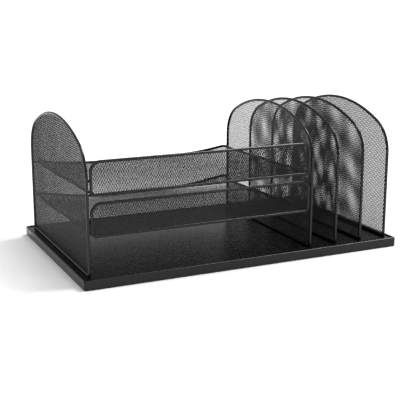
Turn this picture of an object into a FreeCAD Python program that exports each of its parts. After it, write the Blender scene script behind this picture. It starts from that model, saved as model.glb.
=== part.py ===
"""Desk organizer in welded steel wire and steel mesh, on a folded sheet-steel base.

Three shelves for flat papers lie on the left: the deck of the base, a lower tray and an
upper tray. Four arched dividers on the right leave three upright compartments.

Frame: +X to the right, +Y to the back, +Z up. The origin is at the middle of the
footprint, on the surface that the feet stand on. Lengths are in millimetres.
"""

import FreeCAD, Part
import math
import os

Vector = FreeCAD.Vector
X_AXIS = Vector(1, 0, 0)
Y_AXIS = Vector(0, 1, 0)
Z_AXIS = Vector(0, 0, 1)

# Base: a shallow pan of folded sheet, open below, with a raised border round its deck.
BASE_WIDTH = 490.0
BASE_DEPTH = 300.0
FOOT_LIFT = 1.0
SKIRT_HEIGHT = 12.8
SHEET = 1.2
DECK_RECESS = 1.3
BORDER_WIDTH = 4.5
BASE_CORNER = 4.0
RIM_ROUND = 1.6
DECK_CORNER = 2.0
DECK_ROUND = 0.8

FOOT_TOP_RADIUS = 9.0
FOOT_TIP_RADIUS = 7.5
FOOT_INSET_X = 30.0
FOOT_INSET_Y = 26.0

# Wire and mesh.
WIRE_RADIUS = 2.0
MESH_THICKNESS = 0.6

# Arched panels, each in a plane of constant X.
PANEL_X = 233.0
PANEL_HALF_SPAN = 134.5
PANEL_TOP = 212.0
ARCH_SPRING = 140.5
ARCH_SIDE_RADIUS = 50.0
DIVIDER_COUNT = 4
DIVIDER_PITCH = 43.3
ARCH_MESH_INSET = 2.1

# Trays, between the end panel and the first divider.
TRAY_PITCH = 55.0
LIP_HEIGHT = 43.3
LIP_TOP_RADIUS = 13.0
LIP_FOOT_RADIUS = 6.0
TRAY_SIDE_GAP = 5.6
SIDE_FALL = 4.4
SIDE_LOW_INSET = 30.5
SIDE_BEND = 120.0
BACK_FALL = 12.6
BACK_KNEE_RADIUS = 500.0
EAR_BEND = 4.0
FLOOR_STATIONS = 15
# The upper tray's back corners are bent lower, and its dip is wider.
EAR_RISE = {"lower": 0.6, "upper": -3.6}
BACK_KNEE = {"lower": 85.0, "upper": 104.0}

# Weld beads.
LIP_WELD_HEIGHT = 19.0
BACK_WELD_SETBACK = 1.5
BACK_WELD_DROP = 0.6
TRAY_WELD_RADIUS = 1.5
RAIL_WELD_RADIUS = 1.6
RAIL_WELDS = 3
RAIL_WELD_PITCH = 88.0

# How far from level a face may be and still count as flat.
FLAT_TOLERANCE = 1e-4

# Derived places.
RIM_Z = FOOT_LIFT + SKIRT_HEIGHT
DECK_Z = RIM_Z - DECK_RECESS
RAIL_Z = DECK_Z + WIRE_RADIUS
ARCH_TOP = PANEL_TOP - WIRE_RADIUS
DIVIDER_X = [PANEL_X - i * DIVIDER_PITCH for i in reversed(range(DIVIDER_COUNT))]
TRAY_LEFT = -PANEL_X + TRAY_SIDE_GAP
TRAY_RIGHT = DIVIDER_X[0] - TRAY_SIDE_GAP
TRAY_MIDDLE = (TRAY_LEFT + TRAY_RIGHT) / 2
TRAY_Z = {"lower": DECK_Z + TRAY_PITCH, "upper": DECK_Z + 2 * TRAY_PITCH}
# The side wires meet the lip's wire half way round its bottom corners.
CORNER_STEP = LIP_FOOT_RADIUS * (1 - math.sqrt(0.5))
FLOOR_HALF_WIDTH = (TRAY_RIGHT - TRAY_LEFT) / 2 - CORNER_STEP


def bent_path(points, radii, closed=False):
    """A wire of straight runs through the points, rounded at each by its radius."""
    count = len(points)
    corners = range(count) if closed else range(1, count - 1)
    rounded = {}
    for i in corners:
        here = points[i]
        back = (points[i - 1] - here).normalize()
        ahead = (points[(i + 1) % count] - here).normalize()
        half_angle = back.getAngle(ahead) / 2
        reach = radii[i] / math.tan(half_angle)
        middle_way = (back + ahead).normalize()
        to_middle = radii[i] / math.sin(half_angle) - radii[i]
        rounded[i] = (here + back * reach, here + middle_way * to_middle, here + ahead * reach)
    edges = []
    for i in range(count if closed else count - 1):
        after = (i + 1) % count
        start = rounded[i][2] if i in rounded else points[i]
        end = rounded[after][0] if after in rounded else points[after]
        edges.append(Part.LineSegment(start, end).toShape())
        if after in rounded:
            edges.append(Part.Arc(*rounded[after]).toShape())
    return Part.Wire(edges)


def wire_along(path):
    """A round wire whose centre line is the path."""
    first = path.OrderedEdges[0]
    start = first.valueAt(first.FirstParameter)
    section = Part.Wire(Part.makeCircle(WIRE_RADIUS, start, first.tangentAt(first.FirstParameter)))
    return path.makePipeShell([section], True, False)


def rounded_block(width, depth, bottom, top, corner):
    """A block centred on the Z axis with rounded upright edges."""
    block = Part.makeBox(width, depth, top - bottom, Vector(-width / 2, -depth / 2, bottom))
    upright = [e for e in block.Edges if abs(e.tangentAt(e.FirstParameter).z) > 0.9]
    return block.makeFillet(corner, upright)


def face_at(shape, height):
    """The face of a shape that lies flat at one height."""
    return next(f for f in shape.Faces if abs(f.BoundBox.ZMin - height) < FLAT_TOLERANCE)


def base_platform():
    """Folded pan: skirt all round, raised border, and the deck just below it."""
    pan = rounded_block(BASE_WIDTH, BASE_DEPTH, FOOT_LIFT, RIM_Z, BASE_CORNER)
    pan = pan.makeFillet(RIM_ROUND, face_at(pan, RIM_Z).Edges)
    deck_width = BASE_WIDTH - 2 * BORDER_WIDTH
    deck_depth = BASE_DEPTH - 2 * BORDER_WIDTH
    recess = rounded_block(deck_width, deck_depth, DECK_Z, RIM_Z + SHEET, DECK_CORNER)
    pan = pan.cut(recess)
    border = face_at(pan, RIM_Z)
    inner = next(w for w in border.Wires if not w.isSame(border.OuterWire))
    pan = pan.makeFillet(DECK_ROUND, inner.Edges)
    hollow_top = DECK_Z - SHEET
    hollow = rounded_block(
        BASE_WIDTH - 2 * SHEET, BASE_DEPTH - 2 * SHEET, 0, hollow_top, BASE_CORNER - SHEET
    )
    return pan.cut(hollow)


def foot_pads():
    """Four rubber feet under the deck, standing just proud of the skirt."""
    height = DECK_Z - SHEET
    feet = []
    for side in (-1, 1):
        for end in (-1, 1):
            place = Vector(
                side * (BASE_WIDTH / 2 - FOOT_INSET_X), end * (BASE_DEPTH / 2 - FOOT_INSET_Y), 0
            )
            feet.append(Part.makeCone(FOOT_TIP_RADIUS, FOOT_TOP_RADIUS, height, place))
    return Part.makeCompound(feet)


def arch_edges(x, inset, bottom):
    """Leg, three tangent arcs and leg of an arch in the plane at x, from back to front."""
    half = PANEL_HALF_SPAN - inset
    rise = ARCH_TOP - inset - ARCH_SPRING
    side = ARCH_SIDE_RADIUS - inset
    crown = (half**2 + rise**2 - 2 * half * side) / (2 * (rise - side))
    crown_z = ARCH_TOP - inset - crown
    turn = math.atan2(ARCH_SPRING - crown_z, half - side)

    def on_side(sign, angle):
        y = sign * (half - side + side * math.cos(angle))
        return Vector(x, y, ARCH_SPRING + side * math.sin(angle))

    top = Vector(x, 0, ARCH_TOP - inset)
    curves = [
        Part.LineSegment(Vector(x, half, bottom), on_side(1, 0)),
        Part.Arc(on_side(1, 0), on_side(1, turn / 2), on_side(1, turn)),
        Part.Arc(on_side(1, turn), top, on_side(-1, turn)),
        Part.Arc(on_side(-1, turn), on_side(-1, turn / 2), on_side(-1, 0)),
        Part.LineSegment(on_side(-1, 0), Vector(x, -half, bottom)),
    ]
    return [c.toShape() for c in curves]


def panel_frame(x):
    """The arched wire of a panel, with both legs down to the deck."""
    return wire_along(Part.Wire(arch_edges(x, 0, DECK_Z)))


def panel_rail(x):
    """The straight bottom wire of a panel, between its legs and on the deck."""
    reach = PANEL_HALF_SPAN - WIRE_RADIUS
    return Part.makeCylinder(WIRE_RADIUS, 2 * reach, Vector(x, -reach, RAIL_Z), Y_AXIS)


def panel_mesh(x):
    """The mesh that fills a panel, as a sheet inside its arch and above its rail."""
    bottom = RAIL_Z + WIRE_RADIUS
    edges = arch_edges(x - MESH_THICKNESS / 2, ARCH_MESH_INSET, bottom)
    ends = [edges[-1].Vertexes[-1].Point, edges[0].Vertexes[0].Point]
    edges.append(Part.LineSegment(*ends).toShape())
    return Part.Face(Part.Wire(edges)).extrude(X_AXIS * MESH_THICKNESS)


def lip_path(floor_z, inset):
    """The rounded outline of a tray's front lip, inset from its wire's centre line."""
    y = -PANEL_HALF_SPAN
    left = TRAY_LEFT + inset
    right = TRAY_RIGHT - inset
    bottom = floor_z + inset
    top = floor_z + LIP_HEIGHT - inset
    corners = [(left, bottom), (left, top), (right, top), (right, bottom)]
    radii = [LIP_FOOT_RADIUS, LIP_TOP_RADIUS, LIP_TOP_RADIUS, LIP_FOOT_RADIUS]
    points = [Vector(a, y, b) for a, b in corners]
    return bent_path(points, [r - inset for r in radii], closed=True)


def tray_lip_mesh(floor_z):
    """The mesh that fills a lip, as an upright sheet."""
    face = Part.Face(lip_path(floor_z, WIRE_RADIUS))
    face.translate(Y_AXIS * (-MESH_THICKNESS / 2))
    return face.extrude(Y_AXIS * MESH_THICKNESS)


def tray_floor_frame(tray):
    """The wire round a tray's floor: two sides, raised back corners and a dipped back."""
    floor_z = TRAY_Z[tray]
    half = FLOOR_HALF_WIDTH
    back = PANEL_HALF_SPAN
    front = -PANEL_HALF_SPAN + WIRE_RADIUS
    low = back - SIDE_LOW_INSET
    left_half = [
        (-half, front, CORNER_STEP, 0),
        (-half, low, -SIDE_FALL, SIDE_BEND),
        (-half, back, EAR_RISE[tray], EAR_BEND),
        (-BACK_KNEE[tray], back, -BACK_FALL, BACK_KNEE_RADIUS),
    ]
    right_half = [(-x, y, z, r) for x, y, z, r in reversed(left_half)]
    stations = left_half + right_half
    points = [Vector(TRAY_MIDDLE + x, y, floor_z + z) for x, y, z, _ in stations]
    return wire_along(bent_path(points, [s[3] for s in stations]))


def past_bend(distance, slope_before, slope_after, radius):
    """Height above the corner of a rounded upward bend, at a level distance past it."""
    ease = radius * (slope_after - slope_before) / 2
    if distance < -ease:
        return slope_before * distance
    if distance > ease:
        return slope_after * distance
    return slope_before * distance + (distance + ease) ** 2 / (2 * radius)


def side_height(tray, y):
    """Height of a tray's side edge above the bottom of its lip."""
    low = PANEL_HALF_SPAN - SIDE_LOW_INSET
    falling = -SIDE_FALL / (low + PANEL_HALF_SPAN)
    rising = (SIDE_FALL + EAR_RISE[tray]) / SIDE_LOW_INSET
    return past_bend(y - low, falling, rising, SIDE_BEND) - SIDE_FALL


def back_dip(tray, offset):
    """Height of a tray's back edge above its corners, at an offset from its middle."""
    drop = BACK_FALL + EAR_RISE[tray]
    rising = drop / (FLOOR_HALF_WIDTH - BACK_KNEE[tray])
    return past_bend(abs(offset) - BACK_KNEE[tray], 0, rising, BACK_KNEE_RADIUS) - drop


def tray_floor_mesh(tray):
    """The mesh of a tray's floor, level at the front and dished towards the back."""
    half_width = FLOOR_HALF_WIDTH - WIRE_RADIUS
    half_depth = PANEL_HALF_SPAN - WIRE_RADIUS
    shares = [2 * i / (FLOOR_STATIONS - 1) - 1 for i in range(FLOOR_STATIONS)]
    grid = []
    for across in shares:
        x = across * half_width
        middle_share = back_dip(tray, x) / back_dip(tray, 0)
        row = []
        for along in shares:
            y = along * half_depth
            middle_height = -BACK_FALL * (1 + along) / 2
            rise = side_height(tray, y) * (1 - middle_share) + middle_height * middle_share
            z = TRAY_Z[tray] + rise - MESH_THICKNESS / 2
            row.append(Vector(TRAY_MIDDLE + x, y, z))
        grid.append(row)
    surface = Part.BSplineSurface()
    surface.interpolate(grid)
    return surface.toShape().extrude(Z_AXIS * MESH_THICKNESS)


def largest_solid(shape):
    """The biggest solid of a shape that a cut may have split."""
    return max(shape.Solids, key=lambda s: s.Volume)


def tray_welds(neighbours):
    """Beads that join each tray to the end panel and to the first divider."""
    ends = [
        (-PANEL_X, TRAY_LEFT, TRAY_MIDDLE - FLOOR_HALF_WIDTH),
        (DIVIDER_X[0], TRAY_RIGHT, TRAY_MIDDLE + FLOOR_HALF_WIDTH),
    ]
    beads = []
    for tray, floor_z in TRAY_Z.items():
        corner_z = floor_z + EAR_RISE[tray] - BACK_WELD_DROP
        for leg, lip_side, floor_side in ends:
            front = Vector(leg, -PANEL_HALF_SPAN, floor_z + LIP_WELD_HEIGHT)
            back = Vector(leg, PANEL_HALF_SPAN - BACK_WELD_SETBACK, corner_z)
            for start, end_x in ((front, lip_side), (back, floor_side)):
                reach = end_x - leg
                across = X_AXIS if reach > 0 else -X_AXIS
                beads.append(Part.makeCylinder(TRAY_WELD_RADIUS, abs(reach), start, across))
    return Part.makeCompound([largest_solid(b.cut(neighbours)) for b in beads])


def rail_welds(x_places, rails):
    """Beads along the foot of each rail, where it is welded to the deck."""
    above_deck = Part.makeBox(
        BASE_WIDTH, BASE_DEPTH, RAIL_Z, Vector(-BASE_WIDTH / 2, -BASE_DEPTH / 2, DECK_Z)
    )
    beads = []
    for x, rail in zip(x_places, rails):
        for i in range(RAIL_WELDS):
            y = (i - (RAIL_WELDS - 1) / 2) * RAIL_WELD_PITCH
            bead = Part.makeSphere(RAIL_WELD_RADIUS, Vector(x + WIRE_RADIUS, y, DECK_Z))
            beads.append(largest_solid(bead.common(above_deck).cut(rail)))
    return Part.makeCompound(beads)


def build():
    """Every sub-part by its node name."""
    nodes = {"base_platform": base_platform(), "foot_pads": foot_pads()}

    panel_places = [-PANEL_X] + DIVIDER_X
    panel_names = ["end_panel"] + [f"divider_{i + 1}" for i in range(DIVIDER_COUNT)]
    for name, x in zip(panel_names, panel_places):
        nodes[f"{name}_frame"] = panel_frame(x)
        nodes[f"{name}_rail"] = panel_rail(x)
        nodes[f"{name}_mesh"] = panel_mesh(x)

    for name, floor_z in TRAY_Z.items():
        nodes[f"tray_{name}_lip_frame"] = wire_along(lip_path(floor_z, 0))
        nodes[f"tray_{name}_lip_mesh"] = tray_lip_mesh(floor_z)
        nodes[f"tray_{name}_floor_frame"] = tray_floor_frame(name)
        nodes[f"tray_{name}_floor_mesh"] = tray_floor_mesh(name)

    joined = ["end_panel_frame", "divider_1_frame", "end_panel_mesh", "divider_1_mesh"]
    for name in TRAY_Z:
        joined += [f"tray_{name}_{part}" for part in ("lip_frame", "floor_frame", "floor_mesh")]
    nodes["tray_welds"] = tray_welds([nodes[name] for name in joined])
    rails = [nodes[f"{name}_rail"] for name in panel_names]
    nodes["rail_welds"] = rail_welds(panel_places, rails)
    return nodes


def main():
    os.makedirs("parts", exist_ok=True)
    for name, shape in build().items():
        if not shape.isValid():
            raise ValueError(f"{name} isn't a valid shape")
        shape.exportStep(f"parts/{name}.step")
        print(f"{name}: {len(shape.Solids)} solids, {shape.Volume:.0f} mm3")


main()
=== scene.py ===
"""The looks of a welded wire-mesh desk organizer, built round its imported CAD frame.

Each mesh sheet of the frame is replaced by real expanded steel: bonds joined by slanting
strands, as one closed mesh. Lengths are in metres, in the frame of the CAD model.
"""

import math

import bmesh
import bpy
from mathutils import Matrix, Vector, noise
from mathutils.bvhtree import BVHTree


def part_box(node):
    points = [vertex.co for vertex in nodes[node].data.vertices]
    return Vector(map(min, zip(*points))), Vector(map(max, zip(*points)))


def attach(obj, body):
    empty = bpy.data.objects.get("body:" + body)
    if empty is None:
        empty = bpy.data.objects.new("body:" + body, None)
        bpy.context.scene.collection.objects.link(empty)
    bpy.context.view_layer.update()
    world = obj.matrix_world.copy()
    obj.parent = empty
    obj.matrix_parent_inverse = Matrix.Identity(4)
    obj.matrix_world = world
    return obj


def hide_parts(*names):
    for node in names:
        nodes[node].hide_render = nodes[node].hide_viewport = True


X_AXIS = Vector((1, 0, 0))
Y_AXIS = Vector((0, 1, 0))
Z_AXIS = Vector((0, 0, 1))

# Expanded steel mesh: the pitch of its openings each way. A strand is a width and a thickness.
SHORT_WAY = 0.00346
LONG_WAY = 0.0061
PANEL_STRAND = (0.00064, 0.00042)
LIP_STRAND = (0.00048, 0.00042)
FLOOR_STRAND = (0.0006, 0.00034)
BOND_LENGTH = 0.0011
SHEET_THICKNESS = 0.0006
WIRE_OVERLAP = 0.0012
# The sheets are not quite flat.
WAVINESS = 0.00035
WAVE_LENGTH = 0.06

# How far the bonds' plates lean out of each sheet, in degrees.
END_PANEL_LEAN = -3.0
DIVIDER_LEAN = 7.0
LAST_DIVIDER_LEAN = -12.0
LIP_LEAN = 14.0
# How far each divider's mesh is turned in its frame, in degrees.
DIVIDER_TURNS = (0.8, -1.2, 1.4, -0.6)
FLOOR_LEANS = {"tray_lower": 2.5, "tray_upper": 11.5}

# Weld beads: how far they swell past their CAD solids, how lumpy they are, the lumps' pitch.
BEAD_SWELL = 1.25
BEAD_LUMP = 0.3
BEAD_LUMP_RATE = 1.9

# Camera: where it stands, its heading clockwise from +Y, how far it looks down, its lens.
CAMERA_PLACE = (-0.5725, -1.2054, 0.3882)
CAMERA_HEADING = math.radians(24.97)
CAMERA_DOWN = math.radians(13.67)
CAMERA_LENS = 80.75

# Studio: the floor, the world's strength at the horizon and overhead, and the sun.
FLOOR_SIZE = 60.0
WORLD_HORIZON = 0.52
WORLD_ZENITH = 0.82
WORLD_FRONT_SHARE = 0.2
SUN_AZIMUTH = 90
SUN_ELEVATION = 57
SUN_SPREAD = 24
SUN_STRENGTH = 2.0


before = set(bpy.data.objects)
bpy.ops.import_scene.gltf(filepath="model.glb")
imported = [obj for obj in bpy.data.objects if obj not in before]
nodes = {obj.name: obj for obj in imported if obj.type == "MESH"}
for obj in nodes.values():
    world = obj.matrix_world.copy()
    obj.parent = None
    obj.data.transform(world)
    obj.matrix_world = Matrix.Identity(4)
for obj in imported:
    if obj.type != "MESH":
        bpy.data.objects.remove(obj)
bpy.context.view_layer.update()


def new_material(name, colour, roughness):
    """A material with a Principled shader, and its node tree."""
    material = bpy.data.materials.new(name)
    material.use_nodes = True
    tree = material.node_tree
    shader = tree.nodes["Principled BSDF"]
    shader.inputs["Base Color"].default_value = (*colour, 1)
    shader.inputs["Roughness"].default_value = roughness
    return material, tree, shader


def noise_at(tree, scale, detail=3.0):
    """The value of a noise texture in the object's own space."""
    place = tree.nodes.new("ShaderNodeTexCoord")
    texture = tree.nodes.new("ShaderNodeTexNoise")
    texture.inputs["Scale"].default_value = scale
    texture.inputs["Detail"].default_value = detail
    tree.links.new(place.outputs["Object"], texture.inputs["Vector"])
    return texture.outputs["Fac"]


def spread(tree, value, low, high, input_low=0.35, input_high=0.65):
    """A value stretched from its usual range to low..high."""
    node = tree.nodes.new("ShaderNodeMapRange")
    node.inputs["From Min"].default_value = input_low
    node.inputs["From Max"].default_value = input_high
    node.inputs["To Min"].default_value = low
    node.inputs["To Max"].default_value = high
    tree.links.new(value, node.inputs["Value"])
    return node.outputs["Result"]


def powder_coat(name, dark, light, roughness, gloss_level, grain, grain_height):
    """Black powder coat: mottled colour and gloss over the fine pebbling of baked powder."""
    material, tree, shader = new_material(name, dark, roughness)
    shader.inputs["Specular IOR Level"].default_value = gloss_level
    mottle = spread(tree, noise_at(tree, 45.0), 0.0, 1.0)
    mix = tree.nodes.new("ShaderNodeMix")
    mix.data_type = "RGBA"
    mix.inputs["A"].default_value = (*dark, 1)
    mix.inputs["B"].default_value = (*light, 1)
    tree.links.new(mottle, mix.inputs["Factor"])
    tree.links.new(mix.outputs["Result"], shader.inputs["Base Color"])
    gloss = spread(tree, noise_at(tree, 130.0), roughness - 0.02, roughness + 0.03)
    tree.links.new(gloss, shader.inputs["Roughness"])
    bump = tree.nodes.new("ShaderNodeBump")
    bump.inputs["Strength"].default_value = 0.5
    bump.inputs["Distance"].default_value = grain_height
    tree.links.new(noise_at(tree, grain, 2.0), bump.inputs["Height"])
    tree.links.new(bump.outputs["Normal"], shader.inputs["Normal"])
    return material


def moulded_rubber(name):
    """Dull rubber with a faint bloom."""
    material, tree, shader = new_material(name, (0.02, 0.02, 0.02), 0.8)
    bloom = tree.nodes.new("ShaderNodeMix")
    bloom.data_type = "RGBA"
    bloom.inputs["A"].default_value = (0.016, 0.016, 0.016, 1)
    bloom.inputs["B"].default_value = (0.035, 0.034, 0.033, 1)
    tree.links.new(spread(tree, noise_at(tree, 160.0), 0.0, 1.0), bloom.inputs["Factor"])
    tree.links.new(bloom.outputs["Result"], shader.inputs["Base Color"])
    bump = tree.nodes.new("ShaderNodeBump")
    bump.inputs["Strength"].default_value = 0.4
    bump.inputs["Distance"].default_value = 0.0001
    tree.links.new(noise_at(tree, 1500.0), bump.inputs["Height"])
    tree.links.new(bump.outputs["Normal"], shader.inputs["Normal"])
    return material


def dress(node, material):
    """Gives a CAD node its finished material."""
    for slot in nodes[node].material_slots:
        slot.material = material


base_coat = powder_coat(
    "base_powder_coat",
    dark=(0.002, 0.002, 0.0021),
    light=(0.004, 0.004, 0.0042),
    roughness=0.26,
    gloss_level=0.5,
    grain=1100.0,
    grain_height=0.000004,
)
wire_coat = powder_coat(
    "wire_powder_coat",
    dark=(0.0015, 0.0015, 0.0016),
    light=(0.003, 0.003, 0.0032),
    roughness=0.16,
    gloss_level=0.55,
    grain=1600.0,
    grain_height=0.00001,
)
mesh_coat = powder_coat(
    "mesh_powder_coat",
    dark=(0.004, 0.004, 0.0042),
    light=(0.009, 0.009, 0.0093),
    roughness=0.4,
    gloss_level=0.4,
    grain=2400.0,
    grain_height=0.00002,
)
weld_coat = powder_coat(
    "weld_powder_coat",
    dark=(0.003, 0.003, 0.0032),
    light=(0.007, 0.007, 0.0073),
    roughness=0.34,
    gloss_level=0.3,
    grain=1300.0,
    grain_height=0.00004,
)
rubber = moulded_rubber("foot_rubber")


class SheetSurface:
    """A CAD mesh sheet, read as a surface along its normal."""

    def __init__(self, node, across, along):
        self.across = across
        self.along = along
        self.normal = across.cross(along)
        low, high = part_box(node)
        self.middle = (low + high) / 2
        size = high - low
        self.half_across = sum(abs(size[k] * across[k]) for k in range(3)) / 2
        self.half_along = sum(abs(size[k] * along[k]) for k in range(3)) / 2
        self.reach = size.length
        data = nodes[node].data
        corners = [v.co.copy() for v in data.vertices]
        self.tree = BVHTree.FromPolygons(corners, [tuple(p.vertices) for p in data.polygons])

    def height(self, a, b):
        """Height of the sheet's middle above its box's middle plane, or None off the sheet."""
        flat = self.middle + self.across * a + self.along * b
        hit = self.tree.ray_cast(flat + self.normal * self.reach, -self.normal)[0]
        if hit is None:
            return None
        return (hit - flat).dot(self.normal) - SHEET_THICKNESS / 2

    def edge_share(self, start, end):
        """How far along a line from on the sheet to off it the sheet ends, from 0 to 1."""
        low, high = 0.0, 1.0
        for _ in range(10):
            share = (low + high) / 2
            a, b = start + (end - start) * share
            if self.height(a, b) is None:
                high = share
            else:
                low = share
        return low


def expanded_mesh(name, node, across, along, strand, bond_lean, seed):
    """Expanded steel that fills a CAD sheet. A strand is a width and a thickness."""
    sheet = SheetSurface(node, across, along)
    half_width, thickness = strand
    half_bond = BOND_LENGTH / 2
    lean = math.sin(math.radians(bond_lean))
    flat_share = math.cos(math.radians(bond_lean))
    phase = Vector((seed * 3.1, seed * 1.7, seed * 0.9))
    verts = []
    faces = []

    def place(a, b, lift, height):
        """A point of the steel: its spot on the sheet, its lift off it, the sheet's height."""
        spot = Vector((a, b, 0)) / WAVE_LENGTH + phase
        wave = WAVINESS * noise.noise(spot)
        p = sheet.middle + across * a + along * b
        return p + sheet.normal * (height + lift + wave)

    # Bonds sit on a centred grid. Each has an upper and a lower end, and each end a left
    # and a right strand, so a bond has two rings of corners, joined along its middle.
    columns = math.ceil(sheet.half_across / (SHORT_WAY / 2)) + 1
    rows = math.ceil(sheet.half_along / (LONG_WAY / 2)) + 1
    bonds = {}
    for i in range(-columns, columns + 1):
        for j in range(-rows, rows + 1):
            if (i + j) % 2:
                continue
            a = i * SHORT_WAY / 2
            b = j * LONG_WAY / 2
            height = sheet.height(a, b)
            if height is None:
                continue
            rings = {}
            for end in (-1, 1):
                rings[end] = len(verts)
                half = thickness / 2
                for offset in (-half_width, 0.0, half_width):
                    for face in (-half, half):
                        lift = offset * lean + face * flat_share
                        corner_a = a + offset * flat_share
                        verts.append(place(corner_a, b + end * half_bond, lift, height))
            bonds[i, j] = (a, b, rings)
            lo, hi = rings[-1], rings[1]
            # Corners in each ring: left bottom, left top, middle bottom, middle top,
            # right bottom, right top.
            faces.append((lo + 1, lo + 3, hi + 3, hi + 1))
            faces.append((lo + 3, lo + 5, hi + 5, hi + 3))
            faces.append((lo + 2, lo, hi, hi + 2))
            faces.append((lo + 4, lo + 2, hi + 2, hi + 4))
            faces.append((lo, lo + 1, hi + 1, hi))
            faces.append((lo + 5, lo + 4, hi + 4, hi + 5))

    def half_ring(bond, end, side):
        """A strand's corners at a bond's end: left bottom and top, then right bottom and top."""
        first = bonds[bond][2][end] + (0 if side < 0 else 2)
        return (first, first + 1, first + 2, first + 3)

    def tube(low, high):
        """The four walls of a strand between two rings, and nothing at its ends."""
        faces.append((low[1], low[3], high[3], high[1]))
        faces.append((low[2], low[0], high[0], high[2]))
        faces.append((low[0], low[1], high[1], high[0]))
        faces.append((low[3], low[2], high[2], high[3]))

    def stub(bond, end, side):
        """A strand that is cut off just inside the wire round the sheet."""
        a, b = bonds[bond][:2]
        start = Vector((a + side * half_width / 2, b + end * half_bond))
        target = Vector(
            (a + side * (SHORT_WAY - half_width) / 2, b + end * (LONG_WAY / 2 - half_bond))
        )
        share = sheet.edge_share(start, target)
        length = (target - start).length
        share = min(share + WIRE_OVERLAP / length, 1.0)
        reach = start + (target - start) * share
        known = half_ring(bond, end, side)
        shift = reach - start
        first = len(verts)
        for index in known:
            verts.append(verts[index] + across * shift.x + along * shift.y)
        new = (first, first + 1, first + 2, first + 3)
        low, high = (known, new) if end > 0 else (new, known)
        tube(low, high)
        cap = (new[0], new[1], new[3], new[2])
        faces.append(cap if end > 0 else cap[::-1])

    for i, j in list(bonds):
        for side in (-1, 1):
            above = (i + side, j + 1)
            if above in bonds:
                tube(half_ring((i, j), 1, side), half_ring(above, -1, -side))
            else:
                stub((i, j), 1, side)
            if (i + side, j - 1) not in bonds:
                stub((i, j), -1, side)

    data = bpy.data.meshes.new(name)
    data.from_pydata(verts, [], faces)
    data.validate()
    data.update()
    data.materials.append(mesh_coat)
    piece = bpy.data.objects.new(name, data)
    bpy.context.scene.collection.objects.link(piece)
    return piece


def show_sheet(piece, node):
    """Puts an expanded sheet in the place of its CAD node."""
    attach(piece, "root")
    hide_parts(node)


def copy_of(piece, name, source, node):
    """The same expanded sheet again, moved from one CAD node's place to another's."""
    twin = bpy.data.objects.new(name, piece.data)
    twin.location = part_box(node)[0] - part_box(source)[0]
    bpy.context.scene.collection.objects.link(twin)
    return twin


def sheet_family(sources, across, along, strand, bond_lean, seed):
    """One expanded sheet for the first of several equal CAD sheets, and copies for the rest."""
    name = sources[0].replace("_mesh", "_expanded")
    first = expanded_mesh(name, sources[0], across, along, strand, bond_lean, seed)
    show_sheet(first, sources[0])
    for node in sources[1:]:
        show_sheet(copy_of(first, node.replace("_mesh", "_expanded"), sources[0], node), node)


def turned(across, along, angle):
    """The mesh's own two directions when it is turned on its sheet by an angle in degrees."""
    turn = math.radians(angle)
    return (
        across * math.cos(turn) + along * math.sin(turn),
        along * math.cos(turn) - across * math.sin(turn),
    )


def separate_solids(node):
    """The corners of each separate solid in a CAD node."""
    data = nodes[node].data
    places = [tuple(round(c, 6) for c in v.co) for v in data.vertices]
    owner = {p: p for p in places}

    def head(p):
        while owner[p] != p:
            p = owner[p]
        return p

    for edge in data.edges:
        a, b = (head(places[i]) for i in edge.vertices)
        owner[a] = b
    solids = {}
    for p in owner:
        solids.setdefault(head(p), []).append(Vector(p))
    return [solids[key] for key in sorted(solids)]


def weld_beads(name, node, seed):
    """Lumpy beads of weld metal, one in the place of each solid of a CAD node."""
    shape = bmesh.new()
    for number, corners in enumerate(separate_solids(node)):
        low = Vector([min(c[k] for c in corners) for k in range(3)])
        high = Vector([max(c[k] for c in corners) for k in range(3)])
        middle = (low + high) / 2
        half = (high - low) / 2 * BEAD_SWELL
        ball = bmesh.ops.create_icosphere(shape, subdivisions=3, radius=1.0)
        for vert in ball["verts"]:
            spot = vert.co * BEAD_LUMP_RATE + Vector((number * 3.7, seed * 5.3, 0))
            lump = 1 + BEAD_LUMP * noise.noise(spot)
            vert.co = middle + Vector([half[k] * vert.co[k] * lump for k in range(3)])
    data = bpy.data.meshes.new(name)
    shape.to_mesh(data)
    shape.free()
    data.shade_smooth()
    data.materials.append(weld_coat)
    beads = bpy.data.objects.new(name, data)
    bpy.context.scene.collection.objects.link(beads)
    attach(beads, "root")
    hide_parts(node)


dividers = sorted(
    n.removesuffix("_mesh") for n in nodes if n.startswith("divider") and n.endswith("_mesh")
)
panels = ["end_panel"] + dividers
trays = ["tray_lower", "tray_upper"]

sheet_family(["end_panel_mesh"], Y_AXIS, Z_AXIS, PANEL_STRAND, END_PANEL_LEAN, 1)
for seed, (divider, turn) in enumerate(zip(dividers, DIVIDER_TURNS), 10):
    divider_lean = LAST_DIVIDER_LEAN if divider == dividers[-1] else DIVIDER_LEAN
    divider_across, divider_along = turned(Y_AXIS, Z_AXIS, turn)
    sheet_family(
        [f"{divider}_mesh"], divider_across, divider_along, PANEL_STRAND, divider_lean, seed
    )
sheet_family([f"{t}_lip_mesh" for t in trays], X_AXIS, Z_AXIS, LIP_STRAND, LIP_LEAN, 4)
for seed, tray in enumerate(trays, 5):
    sheet_family([f"{tray}_floor_mesh"], Y_AXIS, X_AXIS, FLOOR_STRAND, FLOOR_LEANS[tray], seed)

dress("base_platform", base_coat)
dress("foot_pads", rubber)
for panel in panels:
    dress(f"{panel}_frame", wire_coat)
    dress(f"{panel}_rail", wire_coat)
for tray in trays:
    dress(f"{tray}_lip_frame", wire_coat)
    dress(f"{tray}_floor_frame", wire_coat)
weld_beads("tray_weld_beads", "tray_welds", 1)
weld_beads("rail_weld_beads", "rail_welds", 2)


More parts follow.
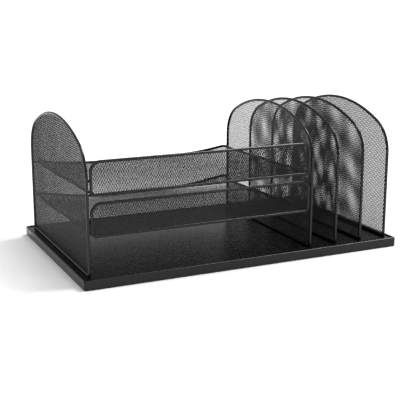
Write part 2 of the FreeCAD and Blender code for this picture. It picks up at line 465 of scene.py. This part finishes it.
def stage_floor():
    """A plain pale floor."""
    bpy.ops.mesh.primitive_plane_add(size=FLOOR_SIZE)
    floor = bpy.context.object
    floor.name = "floor"
    material, _, shader = new_material("floor_paper", (0.9, 0.9, 0.9), 0.9)
    shader.inputs["Specular IOR Level"].default_value = 0.0
    floor.data.materials.append(material)


def soft_world(horizon, zenith, front_share):
    """Studio light from all round, brighter overhead and at the front (-Y)."""
    world = bpy.data.worlds.new("studio")
    bpy.context.scene.world = world
    world.use_nodes = True
    tree = world.node_tree
    place = tree.nodes.new("ShaderNodeTexCoord")
    split = tree.nodes.new("ShaderNodeSeparateXYZ")
    tree.links.new(place.outputs["Generated"], split.inputs["Vector"])
    level = tree.nodes.new("ShaderNodeMapRange")
    level.inputs["From Min"].default_value = 0.0
    level.inputs["From Max"].default_value = 1.0
    level.inputs["To Min"].default_value = horizon
    level.inputs["To Max"].default_value = zenith
    tree.links.new(split.outputs["Z"], level.inputs["Value"])
    front = tree.nodes.new("ShaderNodeMapRange")
    front.inputs["From Min"].default_value = 1.0
    front.inputs["From Max"].default_value = -1.0
    front.inputs["To Min"].default_value = 1.0 - front_share
    front.inputs["To Max"].default_value = 1.0 + front_share
    tree.links.new(split.outputs["Y"], front.inputs["Value"])
    both = tree.nodes.new("ShaderNodeMath")
    both.operation = "MULTIPLY"
    tree.links.new(level.outputs["Result"], both.inputs[0])
    tree.links.new(front.outputs["Result"], both.inputs[1])
    tree.links.new(both.outputs["Value"], tree.nodes["Background"].inputs["Strength"])
    tree.nodes["Background"].inputs["Color"].default_value = (1, 1, 1, 1)


def soft_sun(name, azimuth, elevation, spread_angle, strength):
    """Even light from a broad disc. Azimuth turns from the front (-Y) towards +X."""
    data = bpy.data.lights.new(name, "SUN")
    data.angle = math.radians(spread_angle)
    data.energy = strength
    light = bpy.data.objects.new(name, data)
    turn, rise = math.radians(azimuth), math.radians(elevation)
    source = Vector(
        (math.sin(turn) * math.cos(rise), -math.cos(turn) * math.cos(rise), math.sin(rise))
    )
    light.rotation_euler = (-source).to_track_quat("-Z", "Y").to_euler()
    bpy.context.scene.collection.objects.link(light)


def stage_camera():
    """The camera that sees the object from its front left corner."""
    data = bpy.data.cameras.new("camera")
    data.lens = CAMERA_LENS
    data.sensor_width = 36.0
    camera = bpy.data.objects.new("camera", data)
    camera.location = CAMERA_PLACE
    camera.rotation_euler = (math.pi / 2 - CAMERA_DOWN, 0, -CAMERA_HEADING)
    bpy.context.scene.collection.objects.link(camera)
    bpy.context.scene.camera = camera


stage_floor()
soft_world(WORLD_HORIZON, WORLD_ZENITH, WORLD_FRONT_SHARE)
soft_sun("key", SUN_AZIMUTH, SUN_ELEVATION, SUN_SPREAD, SUN_STRENGTH)
stage_camera()
bpy.context.scene.view_settings.view_transform = "Standard"
bpy.context.scene.view_settings.look = "Medium High Contrast"
